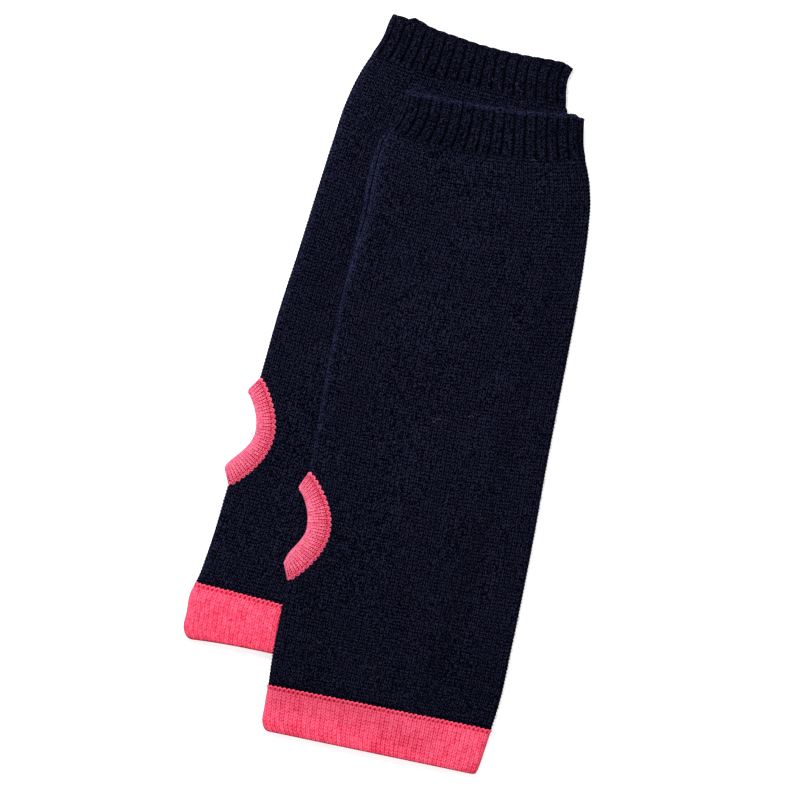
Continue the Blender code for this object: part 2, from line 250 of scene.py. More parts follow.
# Soft folds of the front layers: from (x, up) to (x, up), half width, and height, negative in a trough
softFolds = {
    "upper": [
        ((-26, 236), (-34, 176), 7.0, -0.55), ((-10, 240), (-17, 196), 6.0, -0.40),
        ((14, 236), (6, 160), 11.0, 0.30), ((31, 240), (37, 190), 6.5, -0.35),
        ((38, 150), (12, 92), 9.0, -0.45), ((16, 88), (-2, 30), 12.0, -0.55),
        ((-36, 128), (-22, 96), 8.0, -0.35), ((-30, 58), (-36, 26), 7.0, -0.50),
        ((26, 120), (34, 60), 8.0, 0.25),
    ],
    "lower": [
        ((-30, 238), (-38, 200), 6.0, -0.45), ((-20, 170), (-30, 128), 8.0, -0.35),
        ((-34, 62), (-28, 32), 7.0, -0.40), ((4, 244), (10, 214), 6.0, -0.35),
    ],
}
foldFade = {
    "ends": 0.4,        # share of a fold's length in which each of its ends fades out
    "sides": 14,        # beside the side folds it fades out in one part in so many of the width
    "hem": 22.0,        # and above the hem line within this height
}


def foldHeight(warmer, x, up, across):
    height = np.zeros_like(x)
    for (startX, startUp), (endX, endUp), halfWidth, rise in softFolds[warmer["name"]]:
        length = math.hypot(endX - startX, endUp - startUp)
        alongX = (endX - startX) / length
        alongUp = (endUp - startUp) / length
        along = (x - startX) * alongX + (up - startUp) * alongUp
        aside = (x - startX) * alongUp - (up - startUp) * alongX
        fadeLength = foldFade["ends"] * length
        fade = smoothStep(along / fadeLength) * smoothStep((length - along) / fadeLength)
        height += rise * hump(aside, 0, halfWidth) * fade
    fade = smoothStep(across * foldFade["sides"]) * smoothStep((1 - across) * foldFade["sides"])
    return height * fade * smoothStep((up - heightOn(warmer["hemLine"], across)) / foldFade["hem"])


def levelAt(warmer, part, up, across):
    # height of the tube's middle, and outer radius of its folds
    if part != "body":
        radius = hemRadius if part == "hem" else bodyRadius
        return radius, radius
    nearHem = smoothStep((heightOn(warmer["hemLine"], across) + make["blend"] - up) / make["blend"])
    hemMiddleRadius = hemRadius - make["hemWall"] / 2 + make["wall"] / 2
    return mix(bodyRadius, hemRadius, nearHem), mix(bodyRadius, hemMiddleRadius, nearHem)


tubes = {
    "hem": {"wall": make["hemWall"], "start": "hemEdge", "end": "hemLine", "rounded": (True, False),
            "name": "HemKnit", "slot": "hem_knit", "node": "_hem_band"},
    "body": {"wall": make["wall"], "start": "hemLine", "end": "ribLine", "rounded": (False, False),
             "name": "BodyKnit", "slot": "body_knit", "node": "_body"},
    "cuff": {"wall": make["wall"], "start": "ribLine", "end": "cuffEdge", "rounded": (False, True),
             "name": "RibCuff", "slot": "cuff_rib", "node": "_rib_cuff"},
}


def girthAt(warmer, up):
    return 2 * (foldAt(warmer, 2, up) - foldAt(warmer, 1, up))


def seamAt(warmer, column, up):
    rows = np.array(warmer["seam"], dtype=float)
    return np.interp(up, rows[:, 0], rows[:, column])


def seamRoll(warmer, up):
    return (seamAt(warmer, 1, up - 3) + 2 * seamAt(warmer, 1, up) + seamAt(warmer, 1, up + 3)) / 4


def notchDepth(hole, share):
    return mix(bandFold, hole["depth"], arches(share, make["cutFullness"]))


def edgeDepth(hole, share):
    fullness = np.where(share < 0.5, hole["fullBelow"], hole["fullAbove"])
    return mix(hole["edgeStart"], hole["edgeDepth"], arches(share, fullness))


def tubePoint(warmer, part, share, way, offset):
    # A point on a tube, from shares of the way round and up, and millimetres out from its outer face. Gives
    # x, up and z, and the share of the way round where it lies, because the thumb hole shifts it.
    start = warmer[tubes[part]["start"]]
    end = warmer[tubes[part]["end"]]
    across = 1 - np.abs(1 - 2 * share)
    for _ in range(3):      # the height and the place across depend on each other
        up = mix(heightOn(start, across), heightOn(end, across), way)
        if part == "cuff":
            up = up + np.interp(across, *zip(*warmer["cuffWave"])) * way ** 2
        middle, radius = levelAt(warmer, part, up, across)
        thumb = foldAt(warmer, 1, up)
        width = foldAt(warmer, 2, up) - thumb
        total = 2 * (width - 2 * radius) + 2 * math.pi * radius
        walk = share * total
        walk = cutWalk(warmer, up, walk, total, radius) if part == "body" else walk + seamRoll(warmer, up)
        place, height, across, onTop = stadium(walk, width, radius, offset)
    x = thumb + place
    lift = clothLift(warmer, up, across) + foldHeight(warmer, x, up, across)
    z = middle + height + np.where(onTop, lift, 0) + restingHeight(warmer, x, up)
    return x, up, z, (walk - seamRoll(warmer, up)) / total


def cutWalk(warmer, up, walk, total, radius):
    # beside the thumb hole, the cloth starts at the cut; elsewhere at the side seam
    hole = warmer["hole"]
    share = (up - hole["bottom"]) / (hole["top"] - hole["bottom"])
    depth = notchDepth(hole, np.clip(share, 0, 1)) + make["seamGap"]
    quarter = math.pi / 2 * radius
    cut = np.where(depth > radius, quarter + depth - radius, quarter * depth / radius)
    cut = np.where((share > 0) & (share < 1), cut, 0)
    squeeze = 42.0      # the cut is taken up within this much of the cloth, where the stitches stay straight
    onTop = walk <= total / 2
    fromEdge = np.where(onTop, walk, total - walk)
    moved = np.where(fromEdge < squeeze, cut + fromEdge * (squeeze - cut) / squeeze, fromEdge)
    moved = np.where(onTop, moved, total - moved)
    return np.where(cut > 0, moved, walk + seamRoll(warmer, up))


# One stitch of plain knit, in the meshes and in the wool: powers that make its legs and courses full, and the
# height between two courses
stitchForm = {"leg": 0.7, "course": 0.6, "dip": 0.2}


def stitchHeight(wale, course, knit):
    # height of plain knit, from 0 between the wales to 1 on the yarn: two legs to a stitch, leaning to a V
    side = np.abs(wale % 1 - 0.5)
    leg = np.clip(np.sin(2 * math.pi * side), 0, 1) ** stitchForm["leg"]
    floor = np.where(side < 0.25, knit["centre"], 0)
    across = floor + (1 - floor) * leg
    turn = (course - knit["lean"] * 2 * side) % 1
    crest = np.clip(np.sin(math.pi * turn), 0, 1) ** stitchForm["course"]
    return across * mix(stitchForm["dip"], 1, crest)


def uneven(warmer, wale, course, amount):
    # no two stitches are pulled up quite alike
    table = np.random.default_rng(warmer["seed"]).random((128, 256))
    row = np.floor(wale).astype(int) % table.shape[0]
    column = np.floor(course).astype(int) % table.shape[1]
    return 1 - amount * table[row, column]


def knitHeight(warmer, wale, course, knit):
    return stitchHeight(wale, course, knit) * uneven(warmer, wale, course, knit["uneven"])


def wallRows(length, wall, outerCount, innerCount, rounded):
    # Rows of a closed wall: up its outer face, over one rim, down its inner face and over the other rim. Each
    # has a share of the way up, 1 on the outer face and -1 on the inner, and how far it is drawn inwards.
    radius = wall / 2
    ways = [step / outerCount for step in range(outerCount + 1)]
    outer = [(way, 1, 0) for way in ways
             if way * length >= radius * rounded[0] and (1 - way) * length >= radius * rounded[1]]
    inner = [(mix(outer[-1][0], outer[0][0], step / innerCount), -1, 0) for step in range(innerCount + 1)]
    rims = []
    for end in (1, 0):
        rim = []
        for angle in np.radians([22, 44, 66, 90]) if rounded[end] else []:
            beyond = radius * (1 - math.sin(angle)) / length
            rim.append((1 - beyond if end else beyond, 1, radius * (1 - math.cos(angle))))
        rims.append(rim + [(way, -1, inset) for way, _, inset in rim[-2::-1]])
    startRim = [(way, -face, inset) for way, face, inset in rims[1]]
    return outer + rims[0] + inner + startRim + outer[:1]


def gridMesh(name, columns, rows, size):
    grid = bmesh.new()
    bmesh.ops.create_grid(grid, x_segments=columns - 1, y_segments=rows - 1, size=size)
    mesh = bpy.data.meshes.new(name)
    grid.to_mesh(mesh)
    grid.free()
    return mesh


def sheetFromGrid(name, columns, rows, placed):
    # a flat grid, bent by placed(column, row), which gives the points in millimetres, the stitch coordinates,
    # how open the knit is, and its pale nap with painted highlight, or painted shade where below zero
    mesh = gridMesh(name, columns, rows, 0.5)
    coords = np.empty(len(mesh.vertices) * 3, dtype=np.float32)
    mesh.vertices.foreach_get("co", coords)
    coords = coords.reshape(-1, 3)
    column = np.rint((coords[:, 0] + 0.5) * (columns - 1)).astype(int)
    row = np.rint((coords[:, 1] + 0.5) * (rows - 1)).astype(int)
    points, stitches, gaps, napLightAndShade = placed(column, row)
    mesh.vertices.foreach_set("co", (points * mm).astype(np.float32).ravel())
    corner = np.empty(len(mesh.loops), dtype=np.int32)
    mesh.loops.foreach_get("vertex_index", corner)
    stitchMap = mesh.uv_layers.new(name="stitches")
    stitchMap.uv.foreach_set("vector", stitches[corner].astype(np.float32).ravel())
    # the second layer: pale nap with painted highlight above zero, painted shade below zero
    for layer, values in (("gaps", gaps), ("napLightAndShade", napLightAndShade)):
        values = np.broadcast_to(values, column.shape).astype(np.float32)
        mesh.attributes.new(layer, "FLOAT", "POINT").data.foreach_set("value", values)
    return mesh


def closeSheet(mesh, bridge):
    sheet = bmesh.new()
    sheet.from_mesh(mesh)
    bmesh.ops.remove_doubles(sheet, verts=sheet.verts, dist=0.00001)
    if bridge:
        bmesh.ops.bridge_loops(sheet, edges=[edge for edge in sheet.edges if edge.is_boundary])
    if sheet.calc_volume(signed=True) < 0:
        bmesh.ops.reverse_faces(sheet, faces=sheet.faces)
    for face in sheet.faces:
        face.smooth = True
    sheet.to_mesh(mesh)
    sheet.free()


def addObject(name, data):
    thing = bpy.data.objects.new(name, data)
    bpy.context.collection.objects.link(thing)
    return thing


def addPiece(name, mesh, material, slot, node=None):
    mesh.materials.clear()
    mesh.materials.append(material)
    piece = addObject(name, mesh)
    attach(piece, "root")
    if node:
        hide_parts(node)
    return piece


def columnShares(count, frontSteps, backSteps):
    # places round a tube of count wales, with the given steps to a wale in front and at the back
    shares = [1.0]
    for start, end, steps in ((0.96, 1, frontSteps), (0.5, 0.96, backSteps), (0, 0.5, frontSteps)):
        stretch = np.linspace(start, end, round(count * (end - start) * steps), endpoint=False)
        shares = np.concatenate([stretch, shares])
    return shares


# The side seam: its two welts, the groove between them with painted shade in it, and the pale band beside it,
# nap with a painted highlight
seamShape = {
    "welt": 0.34,
    "weltPlace": 1.4,   # from the seam to the middle of a welt
    "weltWidth": 1.1,
    "groove": 0.80,
    "grooveWidth": 0.42,
    "palePlace": 1.1,
    "paleWidth": 1.4,
    "foldShadeLine": 1.2,    # half width of the painted shade line along a fold
}


def sideSeam(warmer, share, up):
    # how far the seam stands out, and its painted light: a highlight with pale nap on the band beside it, and
    # shade in the groove
    fromSeam = np.where(share > 0.5, share - 1, share) * girthAt(warmer, up)
    strength = seamAt(warmer, 2, up)
    welt = seamShape["welt"] * hump(np.abs(fromSeam), seamShape["weltPlace"], seamShape["weltWidth"])
    groove = seamShape["groove"] * hump(fromSeam, 0, seamShape["grooveWidth"])
    roll = seamRoll(warmer, up)
    pale = hump(fromSeam + roll * 0.66, seamShape["palePlace"], np.abs(roll) * 0.5 + seamShape["paleWidth"])
    return (welt - groove) * strength, pale * seamAt(warmer, 3, up) - groove * strength


def foldShade(warmer, share, up):
    # painted shade: 1 along the outermost line of the two folds, where they turn away
    girth = girthAt(warmer, up)
    walk = share * girth + seamRoll(warmer, up)
    fromFold = np.abs((walk + girth / 4) % (girth / 2) - girth / 4)
    return np.exp(-(fromFold / seamShape["foldShadeLine"]) ** 4)


def tubeLength(warmer, part):
    return heightOn(warmer[tubes[part]["end"]], 0.5) - heightOn(warmer[tubes[part]["start"]], 0.5)


def knitTube(warmer, part, knit, material, relief):
    # the relief gives how far the knit stands out, the stitch coordinates, how open it is, and its pale nap
    # with painted highlight, or painted shade where below zero
    tube = tubes[part]
    wall = tube["wall"]
    length = tubeLength(warmer, part)
    courses = round(length / knit["course"])
    shares = columnShares(knit["wales"], *knit["steps"])
    rows = wallRows(length, wall, knit["rows"][0] * courses, knit["rows"][1], tube["rounded"])
    ways, faces, insets = (np.array(values, dtype=float) for values in zip(*rows))

    def placed(column, row):
        share = shares[column]
        way = ways[row]
        inset = insets[row]
        _, up, _, lies = tubePoint(warmer, part, share, way, 0)
        offset, stitches, gaps, napLightAndShade = relief(warmer, lies, way, up, length, courses)
        offset = np.where(lies > 0.5, offset - knit["under"], offset)
        offset = np.where(faces[row] > 0, offset * (1 - inset / (wall / 2)) - inset, inset - wall)
        if part == "cuff":
            way = way + rimWave(warmer, share) * smoothStep(4 * way - 3) / length
        points = onTable(warmer, *tubePoint(warmer, part, share, way, offset)[:3])
        return points, np.stack(stitches, axis=1), gaps, napLightAndShade

    name = warmer["name"] + tube["name"]
    mesh = sheetFromGrid(name, len(shares), len(rows), placed)
    closeSheet(mesh, bridge=part == "body")
    return addPiece(name, mesh, material, tube["slot"], warmer["name"] + tube["node"])


# Plain knit of the body
body = {
    "wales": 102,
    "steps": (4, 1.5),  # columns of the mesh to a wale, on top and underneath
    "rows": (2, 6),     # rows of the mesh to a course, and down the inner face
    "course": 1.42,
    "depth": 0.32,      # from the yarn down to the gap between two wales
    "rise": 0.10,       # crests stand this far above the solid's face
    "under": 0.44,      # and this much less underneath
    "lean": 0.5,
    "centre": 0.45,
    "uneven": 0.20,
    "hemShade": 0.9,    # painted shadow where the hem's chain lies
    "hemShadeReach": 1.1,
    "hemShadeAbove": 0.25,    # and a little way above it
    "hemShadeAboveReach": 3.0,
    "lowReach": 90.0,   # height of the warmer's lowShade
}


def plainKnit(warmer, share, along, length, courses):
    wale = share * body["wales"]
    course = along / length * courses + body["lean"] / 2
    height = knitHeight(warmer, wale, course, body)
    return body["rise"] - body["depth"] * (1 - height), wale, course


def bodyRelief(warmer, share, way, up, length, courses):
    along = way * length
    offset, wale, course = plainKnit(warmer, share, along, length, courses)
    seam, light = sideSeam(warmer, share, up)
    # painted shade: darker low down, a painted shadow along the hem's chain, and the painted shade line of
    # the folds
    low = warmer["lowShade"] * smoothStep(1 - along / body["lowReach"])
    paintedShade = body["hemShade"] * hump(along, 0, body["hemShadeReach"])
    paintedShade = paintedShade + body["hemShadeAbove"] * smoothStep(1 - along / body["hemShadeAboveReach"])
    return offset + seam, (wale, course), 1 - low, light - paintedShade - low - foldShade(warmer, share, up)


# Ribbed cuff: ribs two wales wide, with a narrow purled valley between two ribs
cuff = {
    "wales": 72,
    "steps": (8, 3),
    "rows": (4, 4),
    "course": 1.42,
    "crest": 0.40,
    "under": 0.74,
    "valley": -0.95,
    "valleyWidth": 0.34,    # share of a rib's pitch
    "valleyFloor": 0.04,
    "purl": 0.25,           # height of the purled bumps in a valley
    "pucker": 0.5,          # share by which the valleys are deeper where they start
    "between": 0.07,        # half width of the line between the two wales of a rib
    "stitch": 0.11,
    "lean": 0.6,
    "centre": 0.5,
    "uneven": 0.15,
    "rim": 1.9,             # height of the roll at the edge
    "rimRise": 0.12,
    "rimBead": 0.26,        # each rib stands out this much more there
    "rimWave": 0.32,        # and up this much
    "fadeOut": 3.0,         # the ribs start from plain knit within this height
}


def ribAt(warmer, share):
    return np.interp(share, [0, 0.5, 1], warmer["ribs"])


def rimWave(warmer, share):
    return cuff["rimWave"] * (arches(ribAt(warmer, share), 0.7) - 0.6)


def cuffRelief(warmer, share, way, up, length, courses):
    along = way * length
    rib = ribAt(warmer, share)
    course = way * courses + cuff["lean"] / 2
    fromValley = np.abs((rib + 0.5) % 1 - 0.5)      # 0 in the valley, 0.5 on the crest
    crest = smoothStep((fromValley - cuff["valleyFloor"]) / (cuff["valleyWidth"] / 2))
    inRib = np.clip((rib % 1 - 0.10) / 0.80, 0, 0.999)
    knit = stitchHeight(inRib * 2, course, cuff) * uneven(warmer, rib * 2, course, cuff["uneven"])
    between = hump(rib % 1, 0.5, cuff["between"])       # the two wales of a rib lie close together
    knit = mix(knit, 0.75, 0.7 * between)
    purl = 0.5 + 0.5 * np.sin(2 * math.pi * course)
    pucker = 1 + cuff["pucker"] * hump(along, cuff["fadeOut"], 1.4)
    valley = cuff["valley"] * pucker + cuff["purl"] * purl
    ribbed = mix(valley, cuff["crest"] - cuff["stitch"] * (1 - knit), crest)
    plain = plainKnit(warmer, share, along, length, courses)[0]
    rim = cuff["rimRise"] + cuff["rimBead"] * arches(rib, 0.6) + 0.06 * np.sin(math.pi * along / 0.7)
    start = smoothStep(along / cuff["fadeOut"])
    top = smoothStep((along - length + cuff["rim"] + 0.8) / 1.6)
    seam, light = sideSeam(warmer, share, up)
    offset = mix(mix(plain, ribbed, start), rim, top) + seam * (1 - 0.8 * top)
    ribs = start * (1 - top)
    # pale nap and painted highlight along the cuff's edge, painted shade where below zero; the seam's painted
    # highlight is stronger near the edge
    rimTuftsAndLight = warmer["rimNapAndLight"] * uneven(warmer, rib * 5, course * 3, 0.8)
    light = light * (1 + 0.6 * top) + rimTuftsAndLight * top - foldShade(warmer, share, up)
    # painted shade in the valleys between the ribs, deepest where they start and less towards the edge, and a
    # little on the line between the two wales of a rib
    paintedShade = 1.1 - 0.3 * purl - 0.5 * way + 0.7 * hump(along, 2.4, 1.1)
    light = light - (1 - crest) * ribs * paintedShade - 0.4 * between * ribs
    return offset, (rib * 2, course), (0.35 - 0.2 * between) * (1 - 0.4 * top), light


# Turned hem
hem = {
    "wales": 102,
    "steps": (6, 4),
    "rows": (4, 4),
    "pitch": 1.86,      # of its wales
    "course": 1.36,
    "depth": 0.16,
    "rise": 0.06,
    "under": 0.06,
    "lean": 0.8,
    "centre": 0.35,
    "uneven": 0.25,
    "groove": 0.22,     # under the linked stitches at its top
}


def hemRelief(warmer, share, way, up, length, courses):
    along = way * length
    course = way * courses + hem["lean"] / 2
    face = np.where(share < 0.5, 1, -1)
    wale = share * hem["wales"] - face * warmer["hemLean"] * (along - length) / hem["pitch"]
    height = knitHeight(warmer, wale, course, hem)
    linked = smoothStep((along - length + 1.5) / 0.8)
    # painted shadow in the hole under each linked stitch
    hole = hump(wale % 1, 0.5, 0.26) * hump(along - length, -1.0, 0.55)
    offset = hem["rise"] - hem["depth"] * (1 - height) - hem["groove"] * linked
    # painted shade along the turned edge
    turnedEdgeShade = smoothStep(1 - along / 0.9)
    lines = (1 - arches(wale, 1.2)) * (0.4 + 0.6 * arches(course, 2))
    streaks = 1 - uneven(warmer, wale + 30, course / 4, 1.0)
    drawn = warmer["hemStitch"] * (0.3 + 0.7 * lines) * streaks
    # the drawn lines are painted shade between the wales, and the hem is painted paler towards its top as a
    # highlight
    napLightAndShade = 0.4 * warmer["hemStitch"] - 0.1 + 0.2 * smoothStep(along / length)
    napLightAndShade = napLightAndShade - drawn - 1.6 * hole - 0.6 * turnedEdgeShade
    return offset, (wale, course), warmer["hemStitch"] * (1 - 0.5 * linked), napLightAndShade


# Band round the thumb hole: its wales run across it, and its sewn edge is a row of bumps
band = {
    "wales": 68,
    "bumps": 48,
    "course": 1.05,
    "depth": 0.18,
    "sewnDepth": 0.50,
    "rise": 0.10,
    "lean": 1.0,
    "centre": 0.3,
    "uneven": 0.25,
    "columns": 8,       # to a wale
    "rowsRound": 66,    # round the band's own section
    "turn": 3.0,        # length of cloth in the fold at each end
    "tuck": 1.2,        # the free edge draws in by this at the folds
    "scallop": 0.7,     # the sewn edge draws in by this between two bumps
}


def bandEdges(warmer, share):
    # x and up of the sewn edge and of the free one, at a share of the way up the thumb hole
    hole = warmer["hole"]
    sewnUp = mix(hole["bottom"], hole["top"], share)
    sewn = np.stack([foldAt(warmer, 1, sewnUp) + notchDepth(hole, share), sewnUp])
    freeUp = mix(hole["edgeBottom"], hole["edgeTop"], share)
    return sewn, np.stack([hole["edgeSide"] + edgeDepth(hole, share), freeUp])


def bandRing(warmer, ring):
    # share of the way up the thumb hole, and the direction the layer faces, from a share of the way round
    shares = (1 - np.cos(np.linspace(0, math.pi, 241))) / 2
    sewn, free = bandEdges(warmer, shares)
    middle = mix(sewn, free, 0.5)
    lengths = np.concatenate([[0], np.cumsum(np.hypot(*np.diff(middle)))])
    front = lengths[-1]
    turn = band["turn"]
    walk = ring * 2 * (front + turn)
    atTop = (walk > front) & (walk <= front + turn)
    atBottom = walk > 2 * front + turn
    goingUp = walk <= front
    climbed = np.where(goingUp, walk, np.clip(2 * front + turn - walk, 0, front))
    share = np.interp(climbed, lengths, shares)
    angle = np.where(goingUp, 90.0, 270.0)
    angle = np.where(atTop, 90 + 180 * (walk - front) / turn, angle)
    angle = np.where(atBottom, 270 - 180 * (walk - 2 * front - turn) / turn, angle)
    return share, np.radians(angle)


def bandPoint(warmer, ring, walk, offset):
    # A point of the band, from shares of the way round the hole and round its section, and millimetres out.
    # Gives x, up, z, distance from the sewn edge, width, and whether on the outer face.
    share, angle = bandRing(warmer, ring)
    sewn, free = bandEdges(warmer, share)
    width = np.hypot(*(free - sewn))
    radius = make["bandWall"] / 2
    around = 2 * (width - 2 * radius) + 2 * math.pi * radius
    place, thick, _, onTop = stadium(walk * around, width, radius, offset)
    drawn = place - band["tuck"] * np.abs(np.cos(angle)) * smoothStep(place / width)
    between = 1 - arches(ring * band["bumps"], 0.7)
    drawn = drawn + band["scallop"] * between * smoothStep(1 - place / 1.8)
    x, up = mix(sewn, free, drawn / width)
    x = x + (bandRadius + thick) * np.cos(angle) * make["bandSqueeze"]
    z = bandMiddle + (bandRadius + thick) * np.sin(angle) + restingHeight(warmer, x, up)
    return x, up, z, place, width, onTop


def makeBand(warmer, material):
    columns = band["wales"] * band["columns"] + 1
    rows = band["rowsRound"] + 1

    def placed(column, row):
        ring = column / (columns - 1)
        walk = row / (rows - 1)
        wale = ring * band["wales"]
        bumps = ring * band["bumps"]
        place, width, onTop = bandPoint(warmer, ring, walk, 0)[3:]
        course = place / band["course"]
        atSewn = smoothStep(1 - (place - 0.9) / 1.6)
        toFree = smoothStep(place / width)
        bump = arches(bumps, 0.7)
        height = mix(knitHeight(warmer, wale, course, band), bump, atSewn)
        depth = mix(mix(band["depth"], 0.5 * band["depth"], toFree), band["sewnDepth"], atSewn)
        pit = 0.25 * hump(place, 2.3, 0.6) * (1 - bump)
        dot = hump(bumps % 1, 0.5, 0.2) * hump(place, 1.9, 0.45)
        offset = band["rise"] - depth * (1 - height) - pit
        offset = np.where(onTop, offset, np.minimum(offset - band["rise"], 0))
        x, up, z, place = bandPoint(warmer, ring, walk, offset)[:4]
        gaps = mix(1.35, 0.25, smoothStep(1.2 * place / width)) * (1 - 0.7 * atSewn)
        dotted = 0.15 + 0.85 * arches(course, 2)
        fading = mix(1.0, 0.15, smoothStep(place / width / 0.75 - 0.33))
        # painted shade in the lines between the wales, the notches between the bumps and a row of dots inside
        # them; paler towards the free edge
        lines = mix((1 - arches(wale, 1.2)) * dotted * fading, 1 - bump, atSewn)
        napLightAndShade = 0.25 * toFree - 1.7 * lines - 0.6 * dot - 0.2 * atSewn
        return onTable(warmer, x, up, z), np.stack([wale, course], axis=1), gaps, napLightAndShade

    name = warmer["name"] + "ThumbBand"
    mesh = sheetFromGrid(name, columns, rows, placed)
    closeSheet(mesh, bridge=False)
    return addPiece(name, mesh, material, "thumb_rib", warmer["name"] + "_thumb_band")


# The linked stitches that join pink to navy: a loop of yarn to each wale of the hem and each bump of the band
chain = {
    "yarn": 0.40,       # radius
    "hemFeet": 0.75,    # share of that radius at the feet of a loop
    "bandFeet": 0.50,
    "bandTops": 1.15,   # and at the band's tops
    "hemSwing": 0.72,   # how far each loop swings up and down
    "hemDrop": 0.68,    # how far its middle lies below the hem line
    "hemJitter": 0.10,
    "bandSwing": 1.0,
    "bandGirth": 22.0,  # round the band's section, near enough
    "steps": 8,         # points to a loop
}


def yarnLines(name, lines, radius, material, slot, thickness=None):
    # round yarn along each line of points, all in one mesh: closed loops where the thickness is given, as a
    # share of the radius at each point, and otherwise loose ends
    closed = thickness is not None
    curve = bpy.data.curves.new(name, "CURVE")
    curve.dimensions = "3D"
    curve.bevel_depth = radius * mm
    curve.bevel_resolution = 1 if closed else 0
    curve.use_fill_caps = True
    for points in lines:
        spline = curve.splines.new("POLY")
        spline.points.add(len(points) - 1)
        spline.points.foreach_set("co", np.insert(points * mm, 3, 1.0, axis=1).ravel())
        if closed:
            spline.points.foreach_set("radius", thickness)
        spline.use_cyclic_u = closed
    holder = addObject(name + "Curve", curve)
    mesh = bpy.data.meshes.new_from_object(holder.evaluated_get(bpy.context.evaluated_depsgraph_get()))
    bpy.data.objects.remove(holder)
    mesh.name = name
    mesh.shade_smooth()
    return addPiece(name, mesh, material, slot)


def chainLoops(count, power):
    # shares of the way round, and the wave of the loops there: 1 at a top and -1 at a foot
    loops = np.arange(count * chain["steps"]) / chain["steps"]
    return loops / count, 2 * arches(loops, power) - 1


def makeHemChain(warmer, material):
    share, wave = chainLoops(hem["wales"], 0.9)
    rng = np.random.default_rng(warmer["seed"] + 1)
    jitter = np.repeat(rng.uniform(-chain["hemJitter"], chain["hemJitter"], hem["wales"]), chain["steps"])
    way = 1 + (chain["hemSwing"] * wave - chain["hemDrop"] + jitter) / tubeLength(warmer, "hem")
    offset = np.where(share < 0.5, -0.10 + 0.10 * wave, -0.45)
    points = onTable(warmer, *tubePoint(warmer, "hem", share, way, offset)[:3])
    thickness = mix(chain["hemFeet"], 1.0, (1 + wave) / 2)
    return yarnLines(warmer["name"] + "HemChain", [points], chain["yarn"], material, "hem_knit", thickness)


def makeBandChain(warmer, material):
    ring, wave = chainLoops(band["bumps"], 0.6)
    walk = (1.0 - chain["bandSwing"] * wave) / chain["bandGirth"]
    thickness = mix(chain["bandFeet"], chain["bandTops"], (1 + wave) / 2)
    spot = bandPoint(warmer, ring, walk % 1, -0.20 + 0.24 * wave)[:3]
    points = onTable(warmer, *spot, lowest=chain["yarn"] * thickness + 0.05)
    return yarnLines(warmer["name"] + "BandChain", [points], chain["yarn"], material, "thumb_rib", thickness)


# Loose hairs of the brushed wool. Each zone: how many, from and to round the piece, from and to along it,
# heading in degrees (0 round the piece, 90 along it) and its spread, and mean length.
nap = {
    "hair": 0.03,       # radius
    "stand": (0.15, 0.75),
    "curl": 50.0,       # degrees that a hair turns on its way
    "lowest": 0.05,     # above the table
    "tubeGirth": 190.0,
    "bandSize": (112.0, 24.0),
    "navy": {
        "body": [(800, 0.0, 0.5, 0.0, 1.0, 90, 90, 2.4), (260, -0.012, 0.010, 0.0, 1.0, 180, 70, 1.8),
                 (260, 0.490, 0.512, 0.0, 1.0, 0, 70, 1.8)],
        "cuff": [(160, 0.0, 0.5, 0.0, 0.9, 90, 90, 2.0), (260, 0.0, 0.5, 0.90, 1.0, 90, 60, 1.6),
                 (50, -0.012, 0.010, 0.0, 1.0, 180, 70, 1.6), (50, 0.490, 0.512, 0.0, 1.0, 0, 70, 1.6)],
    },
    "pink": {
        "hem": [(60, 0.0, 0.5, 0.95, 1.0, 90, 60, 0.8), (160, 0.0, 0.5, 0.1, 0.9, 90, 90, 1.8)],
        "band": [(150, 0.0, 0.45, -0.02, 0.03, 270, 60, 0.9), (90, 0.0, 0.45, 0.05, 0.45, 90, 90, 1.4)],
    },
}


def hairLines(zones, rng, size, placed):
    # size is the piece's length round and along, and placed gives the table points of places on it
    lines = []
    for count, roundFrom, roundTo, alongFrom, alongTo, heading, spread, length in zones:
        share = rng.uniform(roundFrom, roundTo, count)
        way = rng.uniform(alongFrom, alongTo, count)
        turn = np.radians(heading + rng.uniform(-spread, spread, count))
        curl = np.radians(rng.uniform(-nap["curl"], nap["curl"], count))
        step = length * rng.uniform(0.5, 1.5, count) / 2
        stand = rng.uniform(*nap["stand"], count)
        points = []
        for height in (0.0, 0.7, 1.0):
            points.append(placed(share, way, 0.05 + stand * height))
            share = share + step * np.cos(turn) / size[0]
            way = way + step * np.sin(turn) / size[1]
            turn = turn + curl
        lines.extend(np.stack(points, axis=1))
    return lines


def makeNap(warmer, colour, material, slot):
    lines = []
    rng = np.random.default_rng(warmer["seed"] + len(colour))
    for part, zones in nap[colour].items():
        def placed(share, way, offset):
            if part == "band":
                spot = bandPoint(warmer, share, way % 1, offset)
            else:
                spot = tubePoint(warmer, part, share % 1, way, offset)
            return onTable(warmer, *spot[:3], lowest=nap["lowest"])

        size = nap["bandSize"] if part == "band" else (nap["tubeGirth"], tubeLength(warmer, part))
        lines += hairLines(zones, rng, size, placed)
    return yarnLines(warmer["name"] + colour.capitalize() + "Nap", lines, nap["hair"], material, slot)


# A few pale bits of lint: place on the table, heading in degrees, and length. All have one curve, given in
# shares of the length along and aside.
lint = {
    "radius": 0.035,
    "above": 0.15,
    "curve": [(-0.5, 0.0), (-0.15, 0.12), (0.2, 0.1), (0.5, -0.08)],
    "bits": [(43.2, 128.7, 110, 1.2), (52.6, 126.7, 95, 1.0), (59.6, 95.3, 5, 2.6), (29.0, 86.7, 150, 1.0),
             (-17.1, 14.9, 40, 1.4), (-27.3, -101.0, 20, 1.1), (20.4, -10.6, 25, 3.5), (34.2, -8.9, 5, 2.2)],
}


